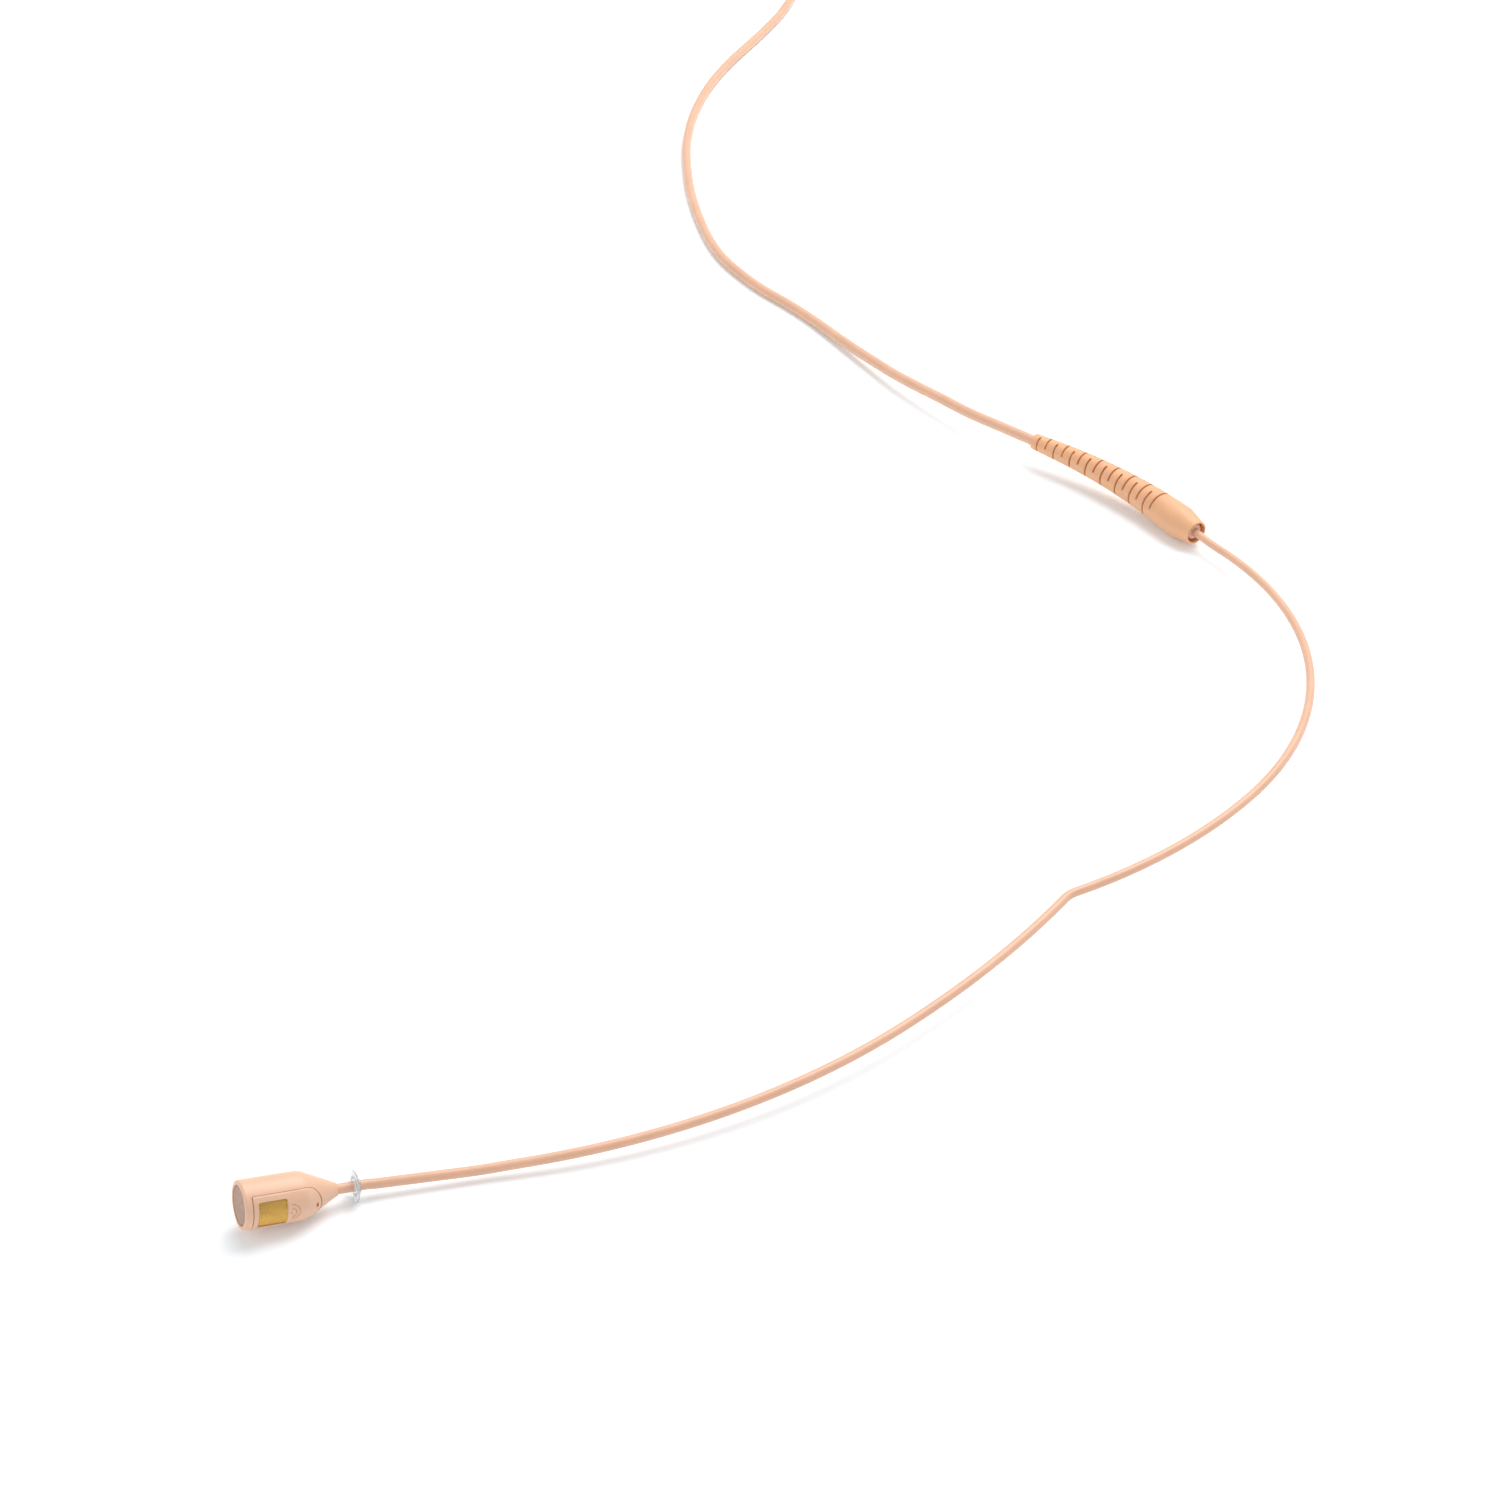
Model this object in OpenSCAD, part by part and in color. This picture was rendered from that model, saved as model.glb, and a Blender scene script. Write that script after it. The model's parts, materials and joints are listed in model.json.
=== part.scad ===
// Miniature headset microphone: a directional capsule on a formable boom, with a
// slotted strain relief, a thin coiled cable and a screw coupling connector.
// Millimetres, +Z up, the microphone lies on the plane Z = 0.

/* [Capsule] */
// Outside diameter of the capsule housing
capsule_d = 5.4; // [5.3:0.05:5.5]
// Length of the capsule housing from front rim to boom
capsule_len = 10.8; // [10.6:0.1:11]
// Length of the rear cone
cone_len = 4.0; // [3.8:0.1:4.2]
// Roll of the side windows above the horizontal, degrees
window_roll = 2; // [0:1:15]

/* [Boom] */
// Outside diameter of the boom
boom_d = 1.15; // [1.1:0.01:1.18]
// Diameter of the moisture disc
disc_d = 3.6; // [3.2:0.1:4.2]
// Distance of the moisture disc from the capsule
disc_at = 1.75; // [1.6:0.05:1.9]

/* [Strain relief] */
// Length of the strain relief
relief_len = 32.9; // [32.5:0.1:33.5]
// Largest diameter of the strain relief
relief_d = 4.9; // [4.7:0.1:5.0]
// Number of slot rings in the strain relief
slot_rings = 16; // [8:1:16]
// Distance between two slot rings
slot_pitch = 1.575; // [1.4:0.025:1.6]
// Width of each slot
slot_w = 0.3; // [0.2:0.05:0.4]

/* [Cable and connector] */
// Outside diameter of the cable
cable_d = 1.6; // [1.5:0.05:1.6]
// Outside diameter of the coupling nut
nut_d = 6.0; // [5.8:0.1:6.0]

/* [Hidden] */
$fn = 64;

// Where the row origin lies in the layout plane
origin = [10.1, -4.4, 0];

rc = capsule_d / 2;
rb = boom_d / 2;
rk = cable_d / 2;
xf = -capsule_len;          // front rim
xs = -cone_len;             // start of the rear cone
wall = 0.3;
eps = 0.02;

// ---- placement functions ----
function T(v) = [[1, 0, 0, v[0]], [0, 1, 0, v[1]], [0, 0, 1, v[2]], [0, 0, 0, 1]];
function RZ(a) = [[cos(a), -sin(a), 0, 0], [sin(a), cos(a), 0, 0], [0, 0, 1, 0], [0, 0, 0, 1]];
function RY(a) = [[cos(a), 0, sin(a), 0], [0, 1, 0, 0], [-sin(a), 0, cos(a), 0], [0, 0, 0, 1]];
function at(m, v) = let (q = m * [v[0], v[1], v[2], 1]) [q[0], q[1], q[2]];

// Capsule tail: position, direction in plan and dip towards the boom
M_CAP = T([-44, -83.1, 2.14] - origin) * RZ(24.5) * RY(8.8);

// The boom as a chain: ["s", length] straight, ["h", radius, degrees to the left],
// ["v", radius, degrees upwards]
stub = 3.2;
tail_in = 4.6;
BOOM = [["s", stub + 3.1], ["h", 4, -12], ["v", 4, 7.2], ["s", 9.6], ["v", 50, 3.5], ["h", 200, -1], ["h", 86, 31.6],
    ["h", 141, 12.8], ["h", 3.6, -28.7], ["h", 72, 24.7], ["h", 55, 67.5], ["h", 30, 2.1],
    ["v", 40, 5], ["h", 89, 1.5], ["s", tail_in]];
function seg_m(s) = s[0] == "s" ? T([s[1], 0, 0])
    : s[0] == "h" ? T([s[1] * sin(abs(s[2])), sign(s[2]) * s[1] * (1 - cos(s[2])), 0]) * RZ(s[2])
    : T([s[1] * sin(s[2]), 0, s[1] * (1 - cos(s[2]))]) * RY(-s[2]);
function chain(i) = i == 0 ? M_CAP * T([-stub, 0, 0]) : chain(i - 1) * seg_m(BOOM[i - 1]);
M_RELIEF = chain(14);
// The strain relief's axis turns to the left in four small steps
bend_step = 4;
BEND_AT = [0, 10.39, 15.11, 19.84, 26.14];
function bent(i) = i == 0 ? M_RELIEF : bent(i - 1) * T([BEND_AT[i] - BEND_AT[i - 1], 0, 0]) * RZ(bend_step);
function bend_of(x) = x < BEND_AT[1] ? 0 : x < BEND_AT[2] ? 1 : x < BEND_AT[3] ? 2 : x < BEND_AT[4] ? 3 : 4;
function bent_at(x) = at(bent(bend_of(x)), [x - BEND_AT[bend_of(x)], 0, 0]);

// Cable: stretch held by the strain relief, then hand-set points on the way to the coil
RUN = [[37, 85.4, 3.66], [33, 89.8, 3.39], [29.5, 94.7, 3.02], [26, 99.5, 2.61], [22.6, 104.5, 2.17], [19.6, 109.6, 1.75],
    [16.6, 114.8, 1.36], [13.7, 120, 1.05], [10.2, 126.1, 0.83], [6.3, 131.9, 0.8], [2, 137.5, 0.8], [-1.6, 143.4, 0.8],
    [-4.7, 149.7, 0.8], [-6.8, 156.4, 0.8], [-8.3, 163.2, 0.8], [-9.5, 170.1, 0.8], [-10.4, 177.1, 0.8], [-10.9, 183, 0.8], [-11.4, 194, 0.8], [-11, 203, 0.8], [-10, 212, 0.8], [-7.5, 224, 0.8], [-3.5, 236, 0.8], [1.5, 248, 0.8],
    [6, 260, 0.8], [9, 272, 0.9], [9.7, 280, 1.1], [9.7, 288, 1.15]];
// Coil
coil_c = [-3, 288, 0];
coil_in = 5.5;
coil_out = 13.5;
coil_lo = 0.35;
coil_hi = 6.75;
// Last stretch from the coil to the connector
TAIL = [[-2.9, 300.7, 5.95], [-7, 300.6, 5.9], [-12, 300.3, 5.0], [-17, 300.1, 3.7], [-21, 300, 3.05], [-24, 300, 3], [-28, 300, 3], [-33.2, 300, 3]];
M_CON = T([-24, 300, nut_d / 2] - origin) * RZ(180);

// ---- shape helpers ----
module xcyl(x, h, r) translate([x, 0, 0]) rotate([0, 90, 0]) cylinder(h = h, r = r);
module xring(x, h, ro, ri) translate([x, 0, 0]) rotate([0, 90, 0]) difference() {
    cylinder(h = h, r = ro);
    translate([0, 0, -1]) cylinder(h = h + 2, r = ri);
}
// Solid of revolution about X from [radius, x] points
module xturn(p) rotate([0, 90, 0]) rotate_extrude() polygon(p);
// Swept tube with n sides along points
function unit(v) = v / norm(v);
function cr(p, i, t) = let (a = p[max(i - 1, 0)], b = p[i], c = p[min(i + 1, len(p) - 1)], d = p[min(i + 2, len(p) - 1)])
    0.5 * ((2 * b) + (c - a) * t + (2 * a - 5 * b + 4 * c - d) * t * t + (3 * b - a - 3 * c + d) * t * t * t);
function smooth(p, k) = concat([for (i = [0:len(p) - 2]) for (j = [0:k - 1]) cr(p, i, j / k)], [p[len(p) - 1]]);
function tangent(p, i) = unit(p[min(i + 1, len(p) - 1)] - p[max(i - 1, 0)]);
function side(t) = unit(cross([0, 0, 1], t));
module tube(p, r, n = 8) {
    m = len(p);
    pts = [for (i = [0:m - 1]) let (t = tangent(p, i), s = side(t), q = cross(t, s)) for (k = [0:n - 1])
        p[i] + r * (cos(360 * (k + 0.5) / n) * s + sin(360 * (k + 0.5) / n) * q)];
    faces = concat(
        [for (i = [0:m - 2]) for (k = [0:n - 1]) [i * n + k, (i + 1) * n + k, (i + 1) * n + (k + 1) % n]],
        [for (i = [0:m - 2]) for (k = [0:n - 1]) [i * n + k, (i + 1) * n + (k + 1) % n, i * n + (k + 1) % n]],
        [[for (k = [0:n - 1]) k]], [[for (k = [0:n - 1]) (m - 1) * n + n - 1 - k]]);
    polyhedron(points = pts, faces = faces);
}

// ---- capsule ----
function cone_r(x) = rc + (0.75 - rc) * (x - xs) / (-0.15 - xs);
module capsule() multmatrix(M_CAP) children();
// Outline of a side insert seen square on, grown by g
plate_f = xf + 0.85;
plate_b = xs - 0.38;
plate_w = 2.08;
module plate_outline(g = 0) {
    translate([plate_f - g, -plate_w - g]) square([plate_b - plate_f + g, 2 * (plate_w + g)]);
    translate([plate_b, 0]) circle(r = plate_w + g);
}
module window_outline(g = 0) {
    l = 3.15 + 2 * g;
    h = 3.14 + 2 * g;
    translate([plate_f + 0.55 - g, -h / 2]) {
        translate([0.25, 0]) square([l - 0.5, h]);
        translate([0, 0.25]) square([l, h - 0.5]);
        for (x = [0.25, l - 0.25]) for (y = [0.25, h - 0.25]) translate([x, y]) circle(r = 0.25, $fn = 24);
    }
}
// Prism through the wall on one side: the side is 0 for left and 1 for right
module through(side_i, lo = 0.7, hi = 3.2) rotate([-window_roll + 180 * side_i, 0, 0]) rotate([90, 0, 0])
    translate([0, 0, lo]) linear_extrude(height = hi - lo) children();
// Closed skin between two depths under the outer surface
module skin(d0, d1) xturn([[rc - d1, xf + 0.5], [rc - d0, xf + 0.5], [rc - d0, xs], [cone_r(-1.8) - d0, -1.8], [cone_r(-1.8) - d1, -1.8], [rc - d1, xs]]);

module capsule_housing() color("#f0c0a0") capsule() difference() {
    xturn([[0, xf + 4], [2.2, xf + 4], [2.2, xf], [rc - 0.42, xf], [rc - 0.2, xf + 0.08], [rc - 0.06, xf + 0.25], [rc, xf + 0.5], [rc, xs], [0.75, -0.15], [0.62, 0], [0, 0]]);
    xcyl(xf + 0.3, capsule_len - cone_len - 0.5, 2.1);
    xturn([[0, xs - 0.21], [2.1, xs - 0.21], [0.95, -1.6], [0, -1.6]]);
    xcyl(-2, 3, rb + 0.005);
    for (k = [0, 1]) intersection() {
        skin(-0.5, wall + 0.04);
        through(k) plate_outline(0.05);
    }
    for (k = [0, 1]) through(k) translate([plate_f + 0.85, -1.27]) square([2.55, 2.54]);
}
module front_screen() color("#b99684") capsule() xcyl(xf + 0.06, 0.22, 2.18);
module front_damper() color("#3a3a3c") capsule() xcyl(xf + 0.32, 0.26, 2.06);
module side_insert(k) color("#f2c4a6") capsule() difference() {
    intersection() {
        skin(0, wall);
        through(k) plate_outline(0);
    }
    through(k) window_outline(0);
    // rear release notch
    through(k) translate([plate_b + plate_w - 0.64, -0.26]) square([0.26, 0.52]);
    // generic engraved arcs
    intersection() {
        skin(-0.2, 0.08);
        through(k) for (r = [0.55, 0.95]) translate([plate_f + 4.1, 0]) intersection() {
            difference() { circle(r = r + 0.06); circle(r = r - 0.06); }
            translate([0, -r]) square([2, 2 * r]);
        }
    }
}
module side_insert_left() side_insert(0);
module side_insert_right() side_insert(1);
module side_mesh(k) color("#d8a63a") capsule() intersection() {
    skin(0.14, 0.24);
    through(k) window_outline(-0.02);
}
module side_mesh_left() side_mesh(0);
module side_mesh_right() side_mesh(1);

cx = xf + 0.7;              // front face of the cartridge
module cartridge_can() color("#c8c9cc") capsule() difference() {
    xcyl(cx, 3.3, 1.95);
    xcyl(cx + 0.1, 4, 1.85);
    xcyl(cx - 1, 2, 0.5);
}
module cartridge_gasket() color("#2c2c2e") capsule() xring(cx + 0.6, 0.4, 2.08, 1.96);
module diaphragm_ring() color("#c9a24a") capsule() xring(cx + 0.12, 0.16, 1.82, 1.35);
module diaphragm() color("#e8e2c8") capsule() xcyl(cx + 0.30, 0.04, 1.82);
module spacer_ring() color("#d6d0b8") capsule() xring(cx + 0.36, 0.1, 1.82, 1.45);
module backplate() color("#b8bcc0") capsule() difference() {
    xcyl(cx + 0.48, 0.4, 1.5);
    for (a = [0:60:300]) rotate([a, 0, 0]) translate([0, 0.9, 0]) xcyl(cx, 2, 0.12);
}
module insulator_cup() color("#e9e9e4") capsule() xring(cx + 0.48, 1.5, 1.82, 1.53);
module contact_post() color("#d1a24d") capsule() xcyl(cx + 0.9, 1.2, 0.18);
module amplifier_board() color("#2f6b45") capsule() difference() {
    xcyl(cx + 2.52, 0.3, 1.8);
    for (s = [-1, 1]) translate([0, s * 0.9, -0.9]) xcyl(cx + 2, 2, 0.12);
}
module amplifier_chip() color("#232325") capsule() translate([cx + 2.1, -0.45, 0.5]) cube([0.4, 0.9, 0.7]);
module lead_wires() color("#b56a3c") capsule() for (s = [-1, 1]) translate([0, s * 0.2, 0]) xcyl(cx + 2.84, -stub - cx - 2.84, 0.11);
module boom_anchor() color("#b9bcc2") capsule() xring(-2.9, 1.1, 0.85, rb + 0.01);

// ---- boom ----
// The jacket follows the chain as a hollow tube of 12 sides, and the wires inside it share its stations
function seg_part(s, t) = s[0] == "s" ? ["s", s[1] * t] : [s[0], s[1], s[2] * t];
STEPS = [1, 3, 2, 1, 2, 1, 12, 7, 4, 8, 18, 1, 2, 1, 1];
STATIONS = concat([chain(0)], [for (i = [0:len(BOOM) - 1]) for (j = [1:STEPS[i]]) chain(i) * seg_m(seg_part(BOOM[i], j / STEPS[i]))]);
module hollow_tube(ms, ro, ri, n = 12) {
    m = len(ms);
    pts = concat([for (q = ms) for (k = [0:n - 1]) at(q, [0, ro * cos(360 * k / n), ro * sin(360 * k / n)])],
        [for (q = ms) for (k = [0:n - 1]) at(q, [0, ri * cos(360 * k / n), ri * sin(360 * k / n)])]);
    b = m * n;
    e = (m - 1) * n;
    faces = concat(
        [for (i = [0:m - 2]) for (k = [0:n - 1]) let (l = (k + 1) % n) [i * n + k, (i + 1) * n + k, (i + 1) * n + l]],
        [for (i = [0:m - 2]) for (k = [0:n - 1]) let (l = (k + 1) % n) [i * n + k, (i + 1) * n + l, i * n + l]],
        [for (i = [0:m - 2]) for (k = [0:n - 1]) let (l = (k + 1) % n) [b + i * n + k, b + (i + 1) * n + l, b + (i + 1) * n + k]],
        [for (i = [0:m - 2]) for (k = [0:n - 1]) let (l = (k + 1) % n) [b + i * n + k, b + i * n + l, b + (i + 1) * n + l]],
        [for (k = [0:n - 1]) let (l = (k + 1) % n) [k, l, b + l]],
        [for (k = [0:n - 1]) let (l = (k + 1) % n) [k, b + l, b + k]],
        [for (k = [0:n - 1]) let (l = (k + 1) % n) [e + k, b + e + l, e + l]],
        [for (k = [0:n - 1]) let (l = (k + 1) % n) [e + k, b + e + k, b + e + l]]);
    polyhedron(points = pts, faces = faces);
}
module boom_jacket() color("#f0bfa0") hollow_tube(STATIONS, rb, 0.38);
module boom_forming_wire() color("#8f9398") tube([for (q = STATIONS) at(q, [0, 0.18, 0])], 0.12);
module boom_signal_core() color("#b5703f") tube([for (q = STATIONS) at(q, [0, -0.18, 0])], 0.12);
module moisture_disc() color("#e6ecec") multmatrix(M_CAP * T([disc_at, 0, 0]))
    xturn([[rb + 0.04, -0.02], [disc_d / 2 - 0.5, 0.02], [disc_d / 2 - 0.05, 0.12], [disc_d / 2, 0.24], [disc_d / 2 - 0.1, 0.32],
        [disc_d / 2 - 0.6, 0.25], [0.92, 0.24], [0.88, 0.5], [0.8, 0.75], [rb + 0.04, 0.78]]);

// ---- strain relief ----
module relief() multmatrix(M_RELIEF) children();
module boom_ferrule() color("#eab794") relief() xturn([[rb + 0.01, 0.42], [0.74, 0.4], [0.92, 0.5], [1.04, 0.7], [1.1, 1.0], [1.1, 4.6], [rb + 0.01, 4.6]]);
module crimp_sleeve() color("#b9bcc2") relief() xring(2.2, 7, 1.42, 1.12);
module splice_sleeves() color("#a33b33") relief() for (s = [-1, 1]) translate([0, s * 0.3, 0]) xcyl(4.8, 2.3, 0.24);
module cable_anchor_ring() color("#9fa3a8") relief() xring(7.5, 1.6, 1.1, rk + 0.02);
function relief_r(x) = relief_d / 2 + (1.25 - relief_d / 2) * (x - 3.7) / (relief_len - 4.4);
// Straight stretch k of the axis: each reaches a little into the next one and is a hair wider where it ends
lap = 0.12;
lip = 0.03;
module stretch(k) multmatrix(bent(k)) {
    l = (k == 4 ? relief_len - 0.7 : BEND_AT[k + 1]) - BEND_AT[k];
    front = k == 0 ? [[0, 0], [1.68, 0], [1.74, 0.08], [relief_d / 2 - 0.1, 3.2], [relief_d / 2, 3.9]]
        : [[0, -lap], [relief_r(BEND_AT[k]) - lip, -lap]];
    back = k == 4 ? [[1.25, l], [1.15, l + 0.7], [0, l + 0.7]] : [[relief_r(BEND_AT[k + 1]) + lip, l + lap], [0, l + lap]];
    xturn(concat(front, back));
}
module strain_relief() color("#f3b78c") difference() {
    union() for (k = [0:4]) stretch(k);
    relief() xcyl(-1, 10.6, 1.5);
    for (k = [0:4]) multmatrix(bent(k)) xcyl(k == 0 ? 9 : -lap, k == 0 ? BEND_AT[1] - 9 + lap : k == 4 ? 9 : BEND_AT[k + 1] - BEND_AT[k] + 2 * lap, rk + (k % 2 == 0 ? 0.04 : 0.1));
    for (k = [0:slot_rings - 1]) let (x = relief_len - 1.25 - slot_pitch * k, d = 0.28 + 0.2 * k / 15)
        for (j = [0, 1]) let (w = j == 0 ? 150 : k % 2 == 0 ? 130 : 90) multmatrix(bent(bend_of(x))) translate([x - BEND_AT[bend_of(x)], 0, 0])
            rotate([0, 90, 0]) rotate([0, 0, 90 * (k % 2) + 180 * j + 90 - w / 2])
                rotate_extrude(angle = w) translate([relief_r(x) - d, -slot_w / 2]) square([1.2, slot_w]);
}

// ---- cable ----
RUN_IN = [for (x = [7.3, 10.39, 12.7, 15.11, 17.5, 19.84, 23, 26.14, 29.4, relief_len, relief_len + 2]) bent_at(x)];
RUN_OUT = [for (p = RUN) p - origin];
module cable_run() color("#f0bfa0") tube(concat(RUN_IN, [for (i = [0:len(smooth(RUN_OUT, 3)) - 1]) smooth(RUN_OUT, 3)[i]]), rk);
module cable_coil() color("#f0bfa0") translate(coil_c - origin) rotate_extrude($fn = 96)
    polygon([[coil_in + 0.5, coil_lo], [coil_out - 0.5, coil_lo], [coil_out, coil_lo + 0.5], [coil_out, coil_hi - 0.5],
        [coil_out - 0.5, coil_hi], [coil_in + 0.5, coil_hi], [coil_in, coil_hi - 0.5], [coil_in, coil_lo + 0.5]]);
module cable_tail() color("#f0bfa0") tube(smooth([for (p = TAIL) p - origin], 2), rk);
module coil_tie() color("#3a3a3d") translate(coil_c - origin) rotate([0, 0, 190]) rotate_extrude(angle = 24, $fn = 96) difference() {
    translate([coil_in - 0.4, 0]) square([coil_out - coil_in + 0.8, coil_hi + 0.35]);
    translate([coil_in - 0.08, coil_lo - 0.06]) square([coil_out - coil_in + 0.16, coil_hi - coil_lo + 0.12]);
}

// ---- connector ----
module connector() multmatrix(M_CON) children();
rn = nut_d / 2;
module connector_boot() color("#2e2e30") connector() xturn([[rk + 0.02, 0], [1.15, 0], [1.25, 0.2], [1.75, 5.2], [1.75, 6], [rk + 0.02, 6]]);
module connector_crimp() color("#c9a24a") connector() xring(6.02, 3.2, 1.75, rk + 0.02);
module connector_body() color("#c9a24a") connector() difference() {
    union() { xcyl(9.24, 4.6, 2.0); xcyl(12.3, 0.9, 2.33); }
    xcyl(9, 6, 1.2);
}
module nut_retaining_ring() color("#b9bcc2") connector() xring(10.55, 0.45, 2.6, 2.01);
module coupling_nut() color("#c9a24a") connector() difference() {
    xturn([[2.07, 11.1], [rn - 0.25, 11.1], [rn, 11.35], [rn, 17.6], [rn - 0.3, 18], [rn - 0.3, 19.2], [rn - 0.5, 19.4], [2.41, 19.4], [2.41, 12.2], [2.07, 12.2]]);
    for (a = [0:20:340]) rotate([a, 0, 0]) translate([0, 0, rn + 0.06]) xcyl(11.9, 5.2, 0.22, $fn = 16);
}
module connector_insulator() color("#f2f2ee") connector() xring(9.9, 6.4, 1.17, 0.23);
module center_contact() color("#d9b04c") connector() { xcyl(9.6, 6.72, 0.21); xcyl(16.32, 2.4, 0.42); }

capsule_housing();
front_screen();
front_damper();
side_insert_left();
side_insert_right();
side_mesh_left();
side_mesh_right();
cartridge_can();
cartridge_gasket();
diaphragm_ring();
diaphragm();
spacer_ring();
backplate();
insulator_cup();
contact_post();
amplifier_board();
amplifier_chip();
lead_wires();
boom_anchor();
boom_jacket();
boom_forming_wire();
boom_signal_core();
moisture_disc();
boom_ferrule();
crimp_sleeve();
splice_sleeves();
cable_anchor_ring();
strain_relief();
cable_run();
cable_coil();
cable_tail();
coil_tie();
connector_boot();
connector_crimp();
connector_body();
nut_retaining_ring();
coupling_nut();
connector_insulator();
center_contact();
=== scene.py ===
import json
import math

import bmesh
import bpy
import numpy as np
from mathutils import Matrix, Vector


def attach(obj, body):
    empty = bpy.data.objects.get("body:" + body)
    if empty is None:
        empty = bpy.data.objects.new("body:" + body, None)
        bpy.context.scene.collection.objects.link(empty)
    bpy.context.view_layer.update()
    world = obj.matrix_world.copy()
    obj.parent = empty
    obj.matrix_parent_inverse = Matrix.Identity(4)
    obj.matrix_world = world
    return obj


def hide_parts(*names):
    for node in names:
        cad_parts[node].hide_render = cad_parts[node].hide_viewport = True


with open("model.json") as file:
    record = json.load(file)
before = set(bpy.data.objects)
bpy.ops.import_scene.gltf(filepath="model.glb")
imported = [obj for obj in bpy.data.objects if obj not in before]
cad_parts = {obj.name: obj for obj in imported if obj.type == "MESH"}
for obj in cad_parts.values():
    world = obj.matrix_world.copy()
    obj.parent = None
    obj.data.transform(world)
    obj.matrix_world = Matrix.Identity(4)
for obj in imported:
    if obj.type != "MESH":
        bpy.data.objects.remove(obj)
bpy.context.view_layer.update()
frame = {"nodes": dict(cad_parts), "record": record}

MM = 0.001
NODES = frame["nodes"]


# ------------------------------------------------------------------ camera
cam_data = bpy.data.cameras.new("camera")
cam_data.lens = 76.8
cam_data.sensor_width = 36.0
cam_data.clip_start = 0.01
cam_data.clip_end = 20
cam = bpy.data.objects.new("camera", cam_data)
bpy.context.scene.collection.objects.link(cam)
cam.location = (-0.0101, -0.33509, 0.23149)
cam.rotation_euler = (math.radians(56.0), 0, 0)
bpy.context.scene.camera = cam


# ------------------------------------------------------------------ placement, in mm, as in the CAD
ORIGIN = np.array([10.1, -4.4, 0.0])


def T(x, y, z):
    m = np.eye(4)
    m[:3, 3] = (x, y, z)
    return m


def RZ(a):
    a = math.radians(a)
    m = np.eye(4)
    m[:2, :2] = [[math.cos(a), -math.sin(a)], [math.sin(a), math.cos(a)]]
    return m


def RY(a):
    a = math.radians(a)
    m = np.eye(4)
    m[0, 0], m[0, 2], m[2, 0], m[2, 2] = math.cos(a), math.sin(a), -math.sin(a), math.cos(a)
    return m


def RX(a):
    a = math.radians(a)
    m = np.eye(4)
    m[1, 1], m[1, 2], m[2, 1], m[2, 2] = math.cos(a), -math.sin(a), math.sin(a), math.cos(a)
    return m


STUB = 3.2
M_CAP = T(*(np.array([-44, -83.1, 2.14]) - ORIGIN)) @ RZ(24.5) @ RY(8.8)
BOOM = [("s", STUB + 3.1, 0), ("h", 4, -12), ("v", 4, 7.2), ("s", 9.6, 0), ("v", 50, 3.5), ("h", 200, -1), ("h", 86, 31.6),
        ("h", 141, 12.8), ("h", 3.6, -28.7), ("h", 72, 24.7), ("h", 55, 67.5), ("h", 30, 2.1), ("v", 40, 5), ("h", 89, 1.5),
        ("s", 4.6, 0)]


def seg_m(k, a, b, t=1.0):
    if k == "s":
        return T(a * t, 0, 0)
    d = math.radians(b * t)
    if k == "h":
        return T(a * math.sin(abs(d)), math.copysign(1, b) * a * (1 - math.cos(d)), 0) @ RZ(b * t)
    return T(a * math.sin(d), 0, a * (1 - math.cos(d))) @ RY(-b * t)


CHAIN = [M_CAP @ T(-STUB, 0, 0)]
for s_ in BOOM:
    CHAIN.append(CHAIN[-1] @ seg_m(*s_))
M_RELIEF = CHAIN[14]
M_CON = T(*(np.array([-24, 300, 3.0]) - ORIGIN)) @ RZ(180)


def at(m, x, y=0.0, z=0.0):
    return (m @ np.array([x, y, z, 1.0]))[:3]


BEND_FROM, BEND_TO, BEND = 7.1, 28.7, 16.0


def bent(x):
    """Placement at distance x along the strain relief, whose axis turns to the left between two stations."""
    if x <= BEND_FROM:
        return M_RELIEF @ T(x, 0, 0)
    r = (BEND_TO - BEND_FROM) / math.radians(BEND)
    a = BEND * (min(x, BEND_TO) - BEND_FROM) / (BEND_TO - BEND_FROM)
    return M_RELIEF @ T(BEND_FROM, 0, 0) @ seg_m("h", r, a) @ T(max(0.0, x - BEND_TO), 0, 0)


# ------------------------------------------------------------------ the cable route, in mm, as in the CAD
RUN = [[37, 85.4, 3.66], [33, 89.8, 3.39], [29.5, 94.7, 3.02], [26, 99.5, 2.61], [22.6, 104.5, 2.17], [19.6, 109.6, 1.75],
       [16.6, 114.8, 1.36], [13.7, 120, 1.05], [10.2, 126.1, 0.83], [6.3, 131.9, 0.8], [2, 137.5, 0.8], [-1.6, 143.4, 0.8],
       [-4.7, 149.7, 0.8], [-6.8, 156.4, 0.8], [-8.3, 163.2, 0.8], [-9.5, 170.1, 0.8], [-10.4, 177.1, 0.8], [-10.9, 183, 0.8],
       [-11.4, 194, 0.8], [-11, 203, 0.8], [-10, 212, 0.8], [-7.5, 224, 0.8], [-3.5, 236, 0.8], [1.5, 248, 0.8],
       [6, 260, 0.8], [9, 272, 0.9], [9.7, 280, 1.1], [9.7, 288, 1.15]]
TAIL = [[-2.9, 300.7, 5.95], [-7, 300.6, 5.9], [-12, 300.3, 5.0], [-17, 300.1, 3.7], [-21, 300, 3.05],
        [-24, 300, 3], [-28, 300, 3], [-33.2, 300, 3]]
COIL_C = np.array([-3, 288, 0.0]) - ORIGIN


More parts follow.
